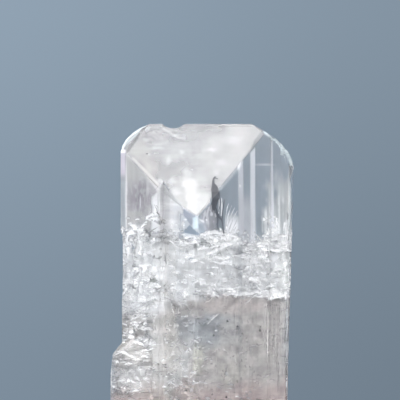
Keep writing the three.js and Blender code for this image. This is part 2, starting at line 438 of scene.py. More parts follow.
# ---- What lies inside ----
# how high the frost reaches at the front, by x; elsewhere it ends at the lid
RIM_X = [-11, -9, -7, -5.2, -3.4, -2.6, 0.4, 3.0, 4.0, 6.8, 7.6, 9.4, 11]
RIM_Z = [36.2, 36.6, 37.4, 36.8, 36.4, 36.1, 36.7, 36.6, 35.8, 35.1, 36.0, 36.6, 36.0]
LID = (34.6, -0.08)  # height and slope in x
FROST_FOOT = 0.06  # z of the clouds' lower edge
GIRTH, RISE = 62.0, 35.0  # round the clouds, and up them
GROOVE_X = -5.9  # the groove's wall at the front
GROOVE_PX = 160.5  # the pixels that show it, below GROOVE_PY
GROOVE_PY = 240


def lid_height(x, y):
    return LID[0] + LID[1] * x + 0.45 * rough(x * 0.13, y * 0.13, 0 * x, 5, 2)


def least_nearby(grid, columns):
    """For each place of a grid that closes round its columns, the least value near it."""
    wide = grid
    for shift in range(-columns, columns + 1):
        wide = np.minimum(wide, np.roll(grid, shift, axis=1))
    tall = wide.copy()
    tall[1:] = np.minimum(tall[1:], wide[:-1])
    tall[:-1] = np.minimum(tall[:-1], wide[1:])
    return tall


def shell(depth, amount, cell, seed, rim_gap):
    """A crumpled layer under the surface, up to a ragged rim."""
    columns, count = int(GIRTH / cell), int(RISE / cell)
    angle = np.linspace(0, 360, columns, endpoint=False)
    ux, uy = np.cos(np.radians(angle)), np.sin(np.radians(angle))
    plain = around(angle, 34.0, depth)
    torn = rough(ux * 2.6, uy * 2.6, np.full(columns, seed * 1.7), seed, 5)
    rim = lid_height(plain[:, 0], plain[:, 1])
    at_front = ramp(uy, 0.0, -0.35)
    rim = rim + at_front * (np.interp(plain[:, 0], RIM_X, RIM_Z) - rim + 0.75 * torn) - rim_gap
    z = FROST_FOOT + (rim - FROST_FOOT) * np.arange(count + 1)[:, None] / count
    skin = around(np.broadcast_to(angle, z.shape), z, 0.0)
    reach = from_middle(skin[:, 0], skin[:, 1]).reshape(z.shape)
    near = int(0.85 / cell)
    groove = ramp(np.abs(plain[:, 0] - GROOVE_X), 2.6, 1.4) * (plain[:, 1] < 0)
    crumple = np.abs(amount * rough(ux * 3, uy * 3, z * 0.5, seed + 9, 3))
    wide = least_nearby(reach, near)
    wide = sum(np.roll(wide, shift, axis=1) for shift in range(1 - near, near)) / (2 * near - 1)
    reach = least_nearby(reach, 2)
    reach = reach + (np.minimum(wide, reach) - reach) * groove - depth - crumple
    verts = np.stack([MIDDLE[0] + ux * reach, MIDDLE[1] + uy * reach, z], -1).reshape(-1, 3)
    return verts, tube(count + 1, columns)


def lid(depth=0.1, columns=200, rings=40):
    """The frost's top: a gently uneven sheet from side to side of the crystal."""
    angle = np.linspace(0, 360, columns, endpoint=False)
    edge = around(angle, LID[0], depth)
    edge = around(angle, lid_height(edge[:, 0], edge[:, 1]), depth)
    rows = []
    for r in range(rings):
        x, y = (MIDDLE[k] + (edge[:, k] - MIDDLE[k]) * (1 - r / rings) for k in (0, 1))
        rows.append(np.stack([x, y, lid_height(x, y)], 1))
    middle = np.array([[*MIDDLE, lid_height(MIDDLE[:1], MIDDLE[1:])[0]]])
    verts = np.concatenate(rows + [middle])
    last = (rings - 1) * columns
    fan = [(last + i, last + (i + 1) % columns, len(verts) - 1) for i in range(columns)]
    return verts, tube(rings, columns) + fan


def fractures(count=260, rings=3, spokes=12):
    """Thin gaps in the glass: flat, wavy lenses whose walls face into the gap."""
    rng = np.random.default_rng(11)
    parts = []
    for i in range(count):
        z = 0.8 + 33 * rng.random() ** 0.75
        size = rng.gamma(3.0, 0.32) + 0.3
        middle = around(rng.uniform(0, 360), z, 0.25 + size * 0.6 + rng.exponential(1.6))[0]
        tilt = rng.normal(0, 0.38, 2)
        turn = rng.uniform(0, math.pi)
        stretch = rng.uniform(1.0, 2.6)
        thick = 0.02 + 0.02 * rng.random()
        if middle[0] > -4 and middle[1] < 3 and z < 31:
            continue  # the smoother lower right
        a = np.tile(2 * math.pi * np.arange(spokes) / spokes, rings)
        r = np.repeat(np.arange(1, rings + 1) / rings, spokes)
        r = r * (1 + 0.35 * np.sin(3 * a + i) + 0.25 * np.sin(5 * a + 2.3 * i))
        fx, fy = (np.append(0, r * wave(a)) for wave in (np.cos, np.sin))
        u = (fx * math.cos(turn) * stretch - fy * math.sin(turn)) * size * 0.6
        v = (fx * math.sin(turn) * stretch + fy * math.cos(turn)) * size * 0.6
        px, py = middle[0] + u, middle[1] + v
        wavy = 0.22 * size * rough(px * 0.8, py * 0.8, np.full(len(u), i * 1.3), 70, 3)
        pz = np.clip(z + tilt[0] * u + tilt[1] * v + wavy, 0.4, 36.5)
        skin = around(np.degrees(np.arctan2(py - MIDDLE[1], px - MIDDLE[0])), pz, 0.12)
        held = np.minimum(1, from_middle(skin[:, 0], skin[:, 1]) / from_middle(px, py))
        px, py = MIDDLE[0] + (px - MIDDLE[0]) * held, MIDDLE[1] + (py - MIDDLE[1]) * held
        half = thick * (1.15 - np.clip(np.hypot(fx, fy), 0, 1))
        verts = np.concatenate([np.stack([px, py, pz + half], 1), np.stack([px, py, pz - half], 1)])
        m = len(fx)
        ends = [(s, (s + 1) % spokes) for s in range(spokes)]
        faces = [(0, 1 + t, 1 + s) for s, t in ends] + [(m, m + 1 + s, m + 1 + t) for s, t in ends]
        for k in range(1, 1 + (rings - 1) * spokes, spokes):
            faces += band(k, k + spokes, spokes) + band(m + k, m + k + spokes, spokes, turned=True)
        edge = 1 + (rings - 1) * spokes
        parts.append((verts, faces + band(edge, m + edge, spokes)))
    return joined(parts)


TONES = {
    "milk": (0.82, 0.83, 0.85), "pale": (0.62, 0.625, 0.635), "grey": (0.48, 0.46, 0.455),
    "blue": (0.37, 0.39, 0.415), "pink": (0.50, 0.43, 0.42),
}
# clouds of another tone than their level's: middle and half sizes in pixels, tone, and its share; the light
# ones at 159.5 and 173 pixels across, by the groove's wall, are painted light that lifts the shade there
PATCHES = table("""
133 262 12 42  milk  0.9; 150 302 36 11  milk  1; 206 268 42 30  pale  0.5; 172 272 14 40  milk  0.7
242 278 16 16  pale  0.4; 130 322 11 8  grey  0.7; 158 326 34 10  grey  0.2; 212 328 26 16  blue  0.75
186 325 20 15  blue  0.6; 202 338 34 10  blue  0.5; 146 312 26 8  milk  0.5; 158 356 40 22  pale  0.9
122 368 16 26  grey  0.5; 197 357 5 17  0.56 0.56 0.5  0.6; 150 388 30 14  0.56 0.51 0.49  0.8
232 372 14 14  0.5 0.48 0.44  0.7; 279 262 12 36  milk  0.8; 288 340 5 60  blue  0.6
129 353 27 20  0.5 0.49 0.485  0.85; 173 352 10 60  0.62 0.605 0.59  0.8; 232 304 34 9  0.64 0.59 0.575  0.8
258 250 14 10  0.88 0.88 0.89  0.8; 284 265 7 36  0.93 0.95 0.94  0.8; 158 294 12 8  0.93 0.93 0.94  0.8
130 309 13 8  milk  0.8; 166 362 17 26  0.63 0.62 0.61  0.7; 245 352 34 36  0.53 0.51 0.5  0.6
187 389 10 12  0.45 0.4 0.385  0.8; 128 239 9 9  0.95 0.96 0.97  0.8; 113 374 5 28  0.44 0.47 0.51  0.7
159.5 248 4 26  0.97 0.97 0.98  0.8; 248 266 14 24  0.92 0.92 0.93  0.7; 222 240 20 10  0.95 0.97 0.95  0.8
172 379 9 8  pale  0.7; 149 273 7 10  0.97 0.97 0.98  0.9; 127 274 6 24  0.95 0.95 0.96  0.7
257 262 8 7  0.93 0.93 0.94  0.6; 200 247 70 18  0.88 0.89 0.9  0.85; 146 325 26 16  0.62 0.61 0.6  0.6
136 378 22 14  pale  0.6
# below the photograph's edge
150 428 40 14  0.62 0.585 0.575  0.8; 244 446 46 18  0.57 0.53 0.52  0.7
186 474 60 13  0.64 0.62 0.61  0.75; 272 418 20 26  0.56 0.51 0.5  0.6; 128 496 30 16  0.7 0.69 0.69  0.7
232 503 66 10  0.6 0.58 0.575  0.7
""")


def mix(a, b, share):
    return a + (np.asarray(b) - a) * share[:, None]


def tone_of(x, z):
    """The clouds' colour: milky above, greyer below the second ledge, pinker towards the foot, and lighter
    beside the groove's wall, where painted light lifts the shade.
    """
    px, py = RIDGE[0] + x / PIXEL, RIDGE[1] + (HEIGHT - z) / PIXEL
    wander = 7 * rough(x * 0.5, z * 0.35, 0 * z, 91, 4)
    tone = mix(np.tile(TONES["milk"], (len(x), 1)), TONES["pale"], 0.55 * ramp(py, 236, 262))
    tone = mix(tone, TONES["grey"], ramp(py + 0.5 * wander + 3 * ramp(px, 262, 266), 295, 301))
    tone = mix(tone, TONES["pink"], ramp(py + wander, 378, 395))
    for cx, cy, rx, ry, *colour, share in PATCHES:
        away = np.hypot((px - cx) / rx, (py - cy) / ry) + 0.04 * wander
        tone = mix(tone, TONES.get(colour[0], colour), share * ramp(away, 1.15, 0.7))
    # painted light: the clouds beside the groove's wall are made lighter, to lift the shade that falls there
    beside = ramp(px, 162.6, 164.6) * ramp(px, 173, 167) * ramp(py, 236, 244)  # the groove
    lighter = 1 + (0.3 + 0.1 * ramp(py, 296, 304) * ramp(py, 336, 326)) * beside
    return np.minimum(tone * lighter[:, None], 0.97)


def set_tone(piece, colours):
    layer = piece.data.color_attributes.new("tone", "FLOAT_COLOR", "POINT")
    layer.data.foreach_set("color", np.asarray(colours, float).ravel())


def strip(rows):
    """Faces between rows of points, all of one length."""
    n = len(rows[0])
    faces = [
        (r * n + i, r * n + i + 1, (r + 1) * n + i + 1, (r + 1) * n + i)
        for r in range(len(rows) - 1)
        for i in range(n - 1)
    ]
    return np.concatenate(rows), faces


# shades of the marks inside: colour and strength
SHADES = {
    "bright": ((0.97, 0.97, 0.98), 1.0), "white": ((0.93, 0.93, 0.94), 0.75),
    "pale": ((0.72, 0.73, 0.75), 0.55), "grey": ((0.36, 0.36, 0.38), 0.5),
    "blue": ((0.27, 0.32, 0.38), 0.6), "dark": ((0.10, 0.10, 0.11), 0.75),
    "smoky": ((0.27, 0.28, 0.27), 0.8), "black": ((0.03, 0.03, 0.035), 1.0),
    "shadow": ((0.16, 0.15, 0.17), 0.4),
}
# marks in the tone of the frost round them: how much lighter or darker, and strength
RELATIVE = {"gleam": (1.42, 0.9), "light": (1.2, 0.7), "dim": (0.76, 0.5), "crack": (0.42, 0.5)}


def rounded(line):
    """The line, with its corners smoothed."""
    return np.convolve(np.pad(line, 2, "edge"), [0.1, 0.2, 0.4, 0.2, 0.1], "valid")


def sliver(chart, points, height, shade, seed, depth, jag=0.25):
    """A shard of frost: sharp along a line of chart points, and fading out above it, or below."""
    points = np.array(points, float)
    along = np.append(0, np.cumsum(np.hypot(*np.diff(points, axis=0).T)))
    n = max(5, int(along[-1] / 1.1))
    t = np.linspace(0, 1, n)
    px, py = (np.interp(t * along[-1], along, column) for column in points.T)
    if len(points) > 2 and n > 6:
        px, py = rounded(px), rounded(py)
    dx, dy = np.gradient(px), np.gradient(py)
    long = np.hypot(dx, dy) + 1e-9
    nx, ny = dy / long, -dx / long  # upwards for a line that runs to the right
    rng = np.random.default_rng(seed)
    bumps = np.linspace(0, 1, 2 + n // 3)
    tall = height * (0.35 + 0.65 * np.sin(np.pi * np.clip(t * 0.9 + 0.05, 0, 1)))
    tall = tall * np.interp(t, bumps, rng.uniform(0.5, 1.4, len(bumps)))
    shift = np.interp(t, bumps, rng.normal(0, jag, len(bumps))) + rng.normal(0, 0.08, n)
    if shade in SHADES:
        colour, strength = SHADES[shade]
    else:
        lighter, strength = RELATIVE[shade]
        middle = chart(points[:, 0].mean(), points[:, 1].mean(), depth)
        colour = np.minimum(tone_of(middle[:, 0], middle[:, 2])[0] * lighter, 0.97)
    rows, alphas = [], []
    for share, alpha in ((0, 0.95), (0.1, 1.0), (0.55, 0.7), (1, 0)):
        off = tall * share + shift * (1 - share)
        rows.append(chart(px + nx * off, py + ny * off, depth))
        alphas.append(alpha * strength * np.clip(np.sin(np.pi * t) * 2.0, 0, 1) * rng.uniform(0.75, 1.0, n))
    verts, faces = strip(rows)
    colours = np.concatenate([np.tile(colour, (len(verts), 1)), np.concatenate(alphas)[:, None]], 1)
    return verts, faces, colours


def film(x0, y0, x1, y1, depth, tone, step):
    """A veil over a window of pixels: tone gives each pixel's colour and strength."""
    px, py = np.arange(x0, x1 + 0.1, step), np.arange(y0, y1 + 0.1, step)
    rows = [front(px, np.full(len(px), y), depth) for y in py]
    verts, faces = strip(rows)
    gx, gy = (v.ravel() for v in np.meshgrid(px, py))
    return verts, faces, tone(gx, gy)


def painted(name, parts, material):
    """One piece of many marks, each with its own tones."""
    piece = make_piece(name, *joined([part[:2] for part in parts]))
    set_tone(piece, np.concatenate([part[2] for part in parts]))
    piece.data.materials.append(material)


def ribbon(points, depth):
    """A thin strip that follows a line of pixels, with its width at each."""
    points = np.reshape(points, (-1, 3))
    steps = np.linspace(0, len(points) - 1, 5 * (len(points) - 1) + 1)
    px, py, width = (np.interp(steps, range(len(points)), column) for column in points.T)
    px, py, half = rounded(px), rounded(py), width / 2
    dx, dy = np.gradient(px), np.gradient(py)
    norm = np.hypot(dx, dy) + 1e-9
    return strip([
        front(px - dy / norm * half, py + dx / norm * half, depth),
        front(px + dy / norm * half, py - dx / norm * half, depth),
    ])


def grain_at(px, py, size, depth, seed):
    """A small, irregular grain under the front surface."""
    rng = np.random.default_rng(seed)
    axes = np.array([[1, 0, 0], [-1, 0, 0], [0, 1, 0], [0, -1, 0], [0, 0, 1], [0, 0, -1.0]])
    verts = axes * size * PIXEL * rng.uniform(0.6, 1.2, (6, 1)) + rng.normal(0, 0.02, (6, 3))
    verts[:, 1] *= 0.4
    faces = [(0, 2, 4), (2, 1, 4), (1, 3, 4), (3, 0, 4), (2, 0, 5), (1, 2, 5), (3, 1, 5), (0, 3, 5)]
    return verts + front(px, py, depth), faces


def frosted(x, z):
    """How much a place is broken up by cracks, from 0 to 1."""
    upper = ramp(z, 27.6, 28.2) * ramp(z, 36.6, 35.0)
    lower = ramp(x, 0.5, -3.5) * ramp(z, 28.4, 27.8)
    return np.clip(upper + 0.9 * lower + 0.12, 0, 1)


PER_DEGREE = 1.5  # pixels to a degree on the chart round the crystal
TURN = 360 * PER_DEGREE


def chart_round(a, b, depth):
    """Like front, but round the whole crystal, anticlockwise from the right."""
    return around(a / PER_DEGREE, at_pixel(0, np.asarray(b))[1], depth)


def half_line(tilt, length):
    return np.array([math.cos(tilt), math.sin(tilt)]) * length / 2


def scattered(count=3800):
    """Slivers all round the crystal, most of them nearly level, and some dark cracks under them."""
    rng = np.random.default_rng(5)
    kinds = ["gleam", "light", "dim", "crack"]
    marks = []
    while len(marks) < count:
        a, b = rng.uniform(0, TURN), rng.uniform(228, 512)
        x, z = HALF * math.cos(math.radians(a / PER_DEGREE)), at_pixel(0, b)[1]
        broken = frosted(x, z)
        if rng.random() > broken:
            continue
        place = chart_round(a, b, 0.0)[0]
        if abs(place[0] - 0.8) < 4.6 and place[1] < 0 and 246 < b < 290 and rng.random() < 0.6:
            continue  # the front's smoother middle
        length = 2.4 + rng.gamma(1.5, 1.6 + 2.6 * broken)
        lean = 0.22 * ramp(x, -6, 0) * ramp(z, 27.5, 29)
        tilt = rng.normal(lean, 0.22) if rng.random() < 0.8 else rng.normal(0, 1.0)
        half = half_line(tilt, length)
        if abs(place[0] - GROOVE_X) < 0.4 + 0.14 * abs(half[0]) and place[1] < 0:
            continue  # across the groove's wall
        middle = np.array([a, b])
        points = [middle - half, middle + [0, rng.normal(0, 0.12) * length], middle + half]
        kind = rng.choice(kinds, p=[0.06, 0.46, 0.42, 0.06] if broken < 0.4 else [0.34, 0.3, 0.28, 0.08])
        tall = rng.uniform(0.8, 1.8) if kind == "crack" else min(0.6 * length, 0.9 + rng.gamma(1.4, 1.3))
        marks.append(sliver(chart_round, points, tall, kind, len(marks), rng.uniform(0.06, 0.16)))
    return marks


def veils(count=1700):
    """Healed cracks at the sides and the back: groups of thin, nearly level slivers."""
    rng = np.random.default_rng(43)
    kinds = ["gleam", "white", "light", "dim", "crack"]
    marks = []
    while len(marks) < count:
        a, b = rng.uniform(25, 290), rng.uniform(250, 512)
        tilt, wide = rng.normal(0, 0.2), rng.uniform(6, 18)
        for _ in range(rng.integers(4, 16)):
            middle = np.array([a + rng.normal(0, wide), b + rng.normal(0, 2.2)])
            middle[1] = min(middle[1] + (middle[0] - a) * tilt, 514)
            half = half_line(tilt + rng.normal(0, 0.16), 2.5 + rng.gamma(1.5, 3.0))
            kind = rng.choice(kinds, p=[0.38, 0.1, 0.27, 0.17, 0.08])
            points = [middle - half, middle + rng.normal(0, 0.3, 2), middle + half]
            tall = rng.uniform(0.8, 1.6) if kind == "crack" else 0.9 + rng.gamma(1.5, 1.2)
            marks.append(sliver(chart_round, points, tall, kind, 12000 + len(marks), rng.uniform(0.06, 0.14)))
    return marks


MIXTURES = {
    # shares of bright, white, pale, grey, shadow and dark
    "mixed": (0.36, 0.28, 0.16, 0.08, 0.08, 0.04), "light": (0.38, 0.34, 0.22, 0.03, 0.03, 0.0),
    "soft": (0.10, 0.28, 0.34, 0.16, 0.1, 0.02),
}
# loose shards at the front: each window's pixels, how many, their lean and its spread, size and mixture
WINDOWS = table("""
126 217 162 243 60 0 0.32 1.25 mixed; 121 229 142 247 24 0 0.4 1.62 light
120 228 146 292 36 1.57 0.12 2.12 light; 120 228 146 292 9 1.57 0.1 2.12 soft
156 222 184 245 42 0 0.4 1.25 mixed; 203 231 246 250 66 0 0.22 1.38 light
182 237 206 250 30 0 0.22 1.25 light; 242 238 268 254 36 0 0.3 1.25 mixed
262 212 290 262 36 1.57 0.15 1.25 mixed; 266 240 290 297 30 1.57 0.08 2 light
122 240 168 300 36 0 0.5 1.25 light; 122 240 166 304 36 0 0.5 2.38 mixed
141 262 157 285 18 0 0.6 1.62 light; 246 252 266 270 14 0 0.5 1.5 light; 168 252 262 286 30 0 0.3 2.12 light
196 284 266 297 42 0 0.2 1.25 light; 264 286 291 300 18 0 0.3 1.25 mixed; 150 284 172 300 18 0 0.3 1.5 light
282 232 291 300 18 1.57 0.1 1.25 mixed; 122 300 168 345 120 0 0.3 1 mixed; 122 300 166 345 30 0 0.3 1.8 soft
113 345 166 392 130 0 0.2 0.9 mixed; 166 340 212 385 60 0 0.3 0.8 soft; 112 386 262 402 60 0 0.3 0.9 soft
""")


def fragments():
    """The windows' shards, but for those across the groove's wall."""
    rng = np.random.default_rng(21)
    kinds = ["bright", "white", "pale", "grey", "shadow", "dark"]
    marks, number = [], 7000
    for x0, y0, x1, y1, count, lean, scatter, size, mixture in WINDOWS:
        for _ in range(int(count)):
            middle = np.array([rng.uniform(x0, x1), y1 - (y1 - y0) * rng.uniform(0, 1) ** 1.4])
            half = half_line(rng.normal(lean, scatter), size * (2.0 + rng.gamma(1.5, 2.2)))
            kind = rng.choice(kinds, p=MIXTURES[mixture])
            points = [middle - half, middle + rng.normal(0, 0.25, 2), middle + half]
            tall = size * (0.8 + rng.gamma(1.5, 0.7)) * (0.7 if kind in ("dark", "shadow") else 1.25)
            depth, number = rng.uniform(0.05, 0.12), number + 1
            if abs(middle[0] - GROOVE_PX) > 2 + abs(half[0]) or middle[1] < GROOVE_PY:
                marks.append(sliver(front, points, tall, kind, number, depth))
    return marks


def rim_shards(count=260):
    """Loose shards along the frost's upper edge, from the right side round the back to the left."""
    rng = np.random.default_rng(29)
    marks = []
    for i in range(count):
        angle = rng.uniform(-40, 215)
        b = 245 + 0.63 * HALF * math.cos(math.radians(angle)) + rng.normal(-1, 2.6)
        half = half_line(rng.normal(0, 0.35), 2.5 + rng.gamma(1.5, 2.4))
        middle = np.array([angle * PER_DEGREE, b])
        kind = rng.choice(["bright", "white", "pale", "shadow"], p=[0.3, 0.3, 0.3, 0.1])
        points = [middle - half, middle + [0, rng.normal(0, 0.4)], middle + half]
        marks.append(sliver(chart_round, points, 0.9 + rng.gamma(1.5, 1.1), kind, 9000 + i, 0.1))
    return marks


def uprights(count=150):
    """Fine upright lines, most of them down the crystal's sides."""
    rng = np.random.default_rng(8)
    marks = []
    for i in range(count):
        a, b = rng.uniform(0, TURN), rng.uniform(300, 500)
        length = rng.uniform(8, 60)
        points = [(a, b - length / 2), (a + rng.normal(0, 0.3), b), (a, b + length / 2)]
        kind = rng.choice(["gleam", "light", "dim", "dim"])
        marks.append(sliver(chart_round, points, rng.uniform(0.5, 1.3), kind, 5000 + i, 0.16, 0.05))
    return marks


# lines that the photograph shows: shade, how far it fades upwards, and the pixels of its points
MARKS = table("""
# under the tip's lowest point
bright 5  196 238.5  206 235  214 234  224 235  234 237  241 239
bright 6  203 255.5  209 254.5  216 252  224 248.5  232 245  238 243
dark 1.2  196 243.8  204 242.6  209 243.4  211 245.5; shadow 2  117.5 352  116.5 372  117 396
white 1.5  112.5 351  111 370  111.5 395; bright 3.5  219.5 231  222 229.5; bright 4  225.5 229  228.5 228
bright 3  236 233  240 231; bright 8  266.5 235  269 234.5; bright 9  273 235  275.5 234
white 14  276.5 231  278.5 230; white 4  183 240  190 237  198 237.5
bright 2.5  208 259.5  214 262  221 264.5  228 264.5  236 267.5; bright 2  232 255  240 257  251 259.8
grey 5  234 255  242 254  250 254; grey 9  234 269  241 270  248 269; white 4  251 268  258 266  264 267
bright 3  208 272  213 274.5  218 276; white 2.5  212 291.5  220 289.5  228 288.5
bright 4.5  227 293  236 296  246 295.3  256 293.4  262 291.5
bright 1.6  243 305  249 301  253 297  258 293.5; white 3  200 290  206 292  212 291.5
# the block at the right
bright 8  266 300.5  273 300  275 298  280 298.3  286 296  290 293; bright 3  277 227  277.2 221  277 216
white 2.5  266.5 236  266.6 230; bright 3  273 239  273.2 229; white 1.6  287.4 252  287.2 222
shadow 1.4  274 263  280 258.5  284 255.5; bright 1.5  275 261  280 257  285 253
dark 1.3  275 272.5  278 271  281 273
# left
bright 3.5  126.5 246  128 236  132 231; bright 3  130 232  134 229.5  137 231
bright 4  136 231  139 240  140.5 250  139.5 257; white 2  123.5 250  125.5 240
blue 9  131 249  133 250  136 248; dark 3  145 229  148 233.5  151.5 237.5; dark 2.5  148.5 238  152 237.5
dark 3  158.5 250  162.5 249.5; dark 5  158 258  161 258.5  162.5 256
smoky 8  149 281.5  154 282.5  159.5 281; dark 2  153 277  156.5 275
dark 2.2  152.5 288.5  157 290.3  161.5 288.3; bright 4  154 286.5  158 287.5  162 286
dark 1.1  153.5 203  157 211  160 220  163.5 226; white 1.5  175 277  180 277.5  186 280.5
white 1.6  172 290  178 291.5  184 290  190 293; blue 3  188 260  194 258; white 3  190 263  197 261
# between the second ledge and the small crystal
grey 7  122 320  126 321  131 319; bright 1.6  129 321  138 317  145 313.6; bright 3.5  138 323  142 322.5
bright 1.8  122 333  128 332.6; grey 10  131 335  134 336  137 335; grey 12  144 337  148 337
white 7  148 345  153 343.5; bright 3  140 350  148 351.5  158 347; shadow 4  118 362  127 361  137 364
white 3  114 355.5  121 352.5  129 356  138 360; grey 10  114 378  120 378
bright 2  115 381  121 381.5  126 380; bright 5  126 382.5  131.5 382
bright 1.6  130 382  136 383.5  141 383; bright 4  142 381  146 379.5  151 380.5; bright 3  132 392  140 391
grey 11  118 395  123 395; light 2.5  172 377.5  178 382.5  184 385; light 2  176 393  180 389.5  185 386
bright 3.5  164 394  169 393; bright 3  161 362  166 360
# the clear patch and round it
white 2  205.5 325.5  211.5 320.5  216 316.4  219.5 313; black 3.4  226 322.4  227.4 322.6  229 322.3
black 2.2  235.9 327.4  237.3 327.5  238.7 327.3; black 2  212 335.9  213.4 336  214.8 335.8
black 6.5  258.4 331.4  260 331.6  261.4 331.4; black 1.8  210.8 394.8  212 395  213.4 394.8
black 2.2  224.6 398  226 398.2  227.6 398; white 3  214 331.2  216 331.4  218 331
shadow 5  240.2 362  241.6 362.2  243 362; light 2  202 325  207 322; light 2  214 330  218 332
light 2  233 330.6  239 330; light 3  213 354  218 350; light 3  208 360  214 357; light 3  203 371  208 374
light 1.8  237 353  243 354.5  248 351; pale 2  248 350  252 348  257 345.5; light 2  222 350  227 353
grey 13  223 375  226 376  229 375; light 1.6  209 383  218 383.6  226 385.3; pale 2  226 385.3  235 385
pale 2  188 383  198 383.6  209 383; light 2.4  249 379  254 381.5  260 379
light 2  262 378.5  268 376  273 373; gleam 1.3  273 375  273.6 360  273 345
# upright lines at the lower right
gleam 1.4  266.5 310  267 302; gleam 1.3  269.3 346  269.3 329; dim 1.2  272.8 320  273 302
gleam 1.2  276.5 316  277 302; dim 1.2  279.5 325  280 300; gleam 1.2  281.5 350  282 306
dim 1.4  284 345  285 300; pale 1.3  286.6 365  287 310; dim 1  266.3 352  266.5 322
dim 1.1  272.6 356  273 338; gleam 1.2  275.5 350  275.5 333; dim 1  276.6 372  277 352
gleam 1.2  280 376  280.5 362
""")
# long upright lines at the lower right: shade, width, and points
LINES = table("""
gleam 1.4  267.6 372  268 340  268.4 304; gleam 1.2  271.8 356  272.2 330  272.4 301
gleam 1.5  275.8 366  276.2 330  276.6 301; light 2.2  279.6 386  280 345  280.4 301
gleam 1.4  283 378  283.4 340  283.8 301; dim 1.2  273.8 380  274.2 345  274.4 306
dim 1.2  285.8 390  286 345  286.4 301; light 1.6  264.6 350  265 325  265.4 303
""")
# the dark wisp to the right of the tip's lowest point: pixels and widths along each strand
WISP = table("""
213 180.5 1.6  214.6 177.2 1.8  216.2 176.6 0.5; 214.2 178.4 0.9  216.6 178.2 1.3  218.4 179.4 0.4
213.6 178 1.4  213.4 181 2.4  213.2 184 3  213.8 187 4.4
213.8 184 3.4  214.6 188 6.6  215.4 193 7.8  215.4 198 7  214.4 204 5.2  214 211 2.2
212 205 1.2  212.6 209 1  212.4 213 0.4; 219 190 0.8  219.6 195 1  218.8 200 0.5
215.8 207 0.9  217 212.5 1.8  219 217 2.4  221.6 220 1.4
221.5 218 1.6  222.5 224 1.1  223 229 1.3  224 234 1.6
224.6 199 0.7  223.6 205 1  222.6 212 0.8  222.3 219 1.2; 220.8 198 0.5  220.2 205 0.7  218 213 0.4
217 213 0.5  217.8 219 1.3  217.6 226 0.9  218.4 231 0.4
""")
FAN = table("""
225 231 0.4  226.4 222 0.8  228.6 213 0.9  232 205 0.4
226 232 0.5  228.4 223 1  231.2 214.5 1.1  235 207 0.5; 227 234 0.5  230.6 225 1.2  234 217 1  237.5 210 0.5
225 226 0.4  225.8 216 0.7  227 208 0.8  228.6 203 0.4; 229 236 0.6  233 228 1  236 222 0.9  238 216 0.4
218.8 196 0.8  219.2 205 1.6  218.4 215 0.7; 227.5 235 0.5  230.4 226 1.1  232.6 220 1  235.5 213 0.5
231 236 0.6  234 230 1.1  236.6 225.5 0.5; 221.4 197 0.8  221.8 206 1.7  221 217 0.7
""")
# pixels and half sizes
DARK_GRAINS = table("""
147 154 0.9; 150 236.5 1.6; 145.5 233.5 1; 154 249 1.1; 154.5 256 1.3; 149.5 270 1; 150.5 279 1.2
227 320.5 0.9; 237 326 0.8; 213.5 335 0.9; 260 327 1; 259.6 331 0.6; 212 394 1; 226 397 1.1; 246 393 0.7
241 360 0.6; 136 358 0.7
""")


def frayed(marks):
    """Each mark as a main shard with thinner, shorter ones beside it."""
    rng = np.random.default_rng(17)
    parts = []
    for shade, height, *points in marks:
        line = np.reshape(points, (-1, 2))
        parts.append(sliver(front, line, height, shade, 900 + len(parts), 0.06, 0.3))
        long = np.hypot(*np.diff(line, axis=0).T).sum()
        for _ in range(int(long / 5)):
            at = rng.uniform(0, len(line) - 1.001)
            k = int(at)
            step = line[k + 1] - line[k]
            wx, wy = step / np.linalg.norm(step)
            middle = line[k] + step * (at - k) + [wy * rng.normal(0, 1.6), -wx * rng.normal(0, 1.6)]
            turn = rng.normal(0, 0.35)
            c, s = math.cos(turn), math.sin(turn)
            half = np.array([wx * c - wy * s, wx * s + wy * c]) * rng.uniform(1.2, 3.5)
            points = [middle - half, middle, middle + half]
            parts.append(sliver(front, points, rng.uniform(0.5, 1.4), shade, 900 + len(parts), 0.05, 0.3))
    return parts


# ---- Materials ----
def add(tree, kind, settings=None, **inputs):
    """A node with its settings, and with each named input set or linked."""
    node = tree.nodes.new("ShaderNode" + kind)
    for key, value in (settings or {}).items():
        setattr(node, key, value)
    for key, value in inputs.items():
        plug(tree, node.inputs[key.replace("_", " ")], value)
    return node


def plug(tree, socket, value):
    """An input set to a value, or linked to another node's output."""
    if isinstance(value, bpy.types.NodeSocket):
        tree.links.new(value, socket)
    else:
        socket.default_value = value


def product(tree, a, b):
    node = add(tree, "Math", {"operation": "MULTIPLY"})
    plug(tree, node.inputs[0], a)
    plug(tree, node.inputs[1], b)
    return node.outputs[0]


def noise_at(tree, scales, seed, least, most, detail=3.0):
    """A factor from a noise whose size along each axis can differ."""
    place = add(tree, "TexCoord").outputs["Object"]
    sized = add(tree, "Mapping", None, Vector=place, Scale=scales).outputs[0]
    grain = add(tree, "TexNoise", {"noise_dimensions": "4D"}, Vector=sized, W=seed, Scale=1.0, Detail=detail,
                Roughness=0.55).outputs["Fac"]
    return add(tree, "MapRange", None, Value=grain, From_Min=0.3, From_Max=0.7, To_Min=least,
               To_Max=most).outputs["Result"]


def own_tone(tree, factor):
    """The mesh's own tones times a factor, and their strength."""
    tone = add(tree, "Attribute", {"attribute_name": "tone"})
    tinted = add(tree, "VectorMath", {"operation": "MULTIPLY"})
    plug(tree, tinted.inputs[0], tone.outputs["Vector"])
    plug(tree, tinted.inputs[1], factor)
    return tinted.outputs[0], tone.outputs["Alpha"]


def surfaced(name, nodes):
    """A material of one principled surface: nodes gives its inputs, and what fills its volume."""
    material = bpy.data.materials.new(name)
    material.use_nodes = True
    tree = material.node_tree
    tree.nodes.clear()
    out = add(tree, "OutputMaterial")
    inputs, volume = nodes(tree)
    plug(tree, out.inputs["Surface"], add(tree, "BsdfPrincipled", None, **inputs).outputs[0])
    if volume:
        plug(tree, out.inputs["Volume"], volume)
    return material


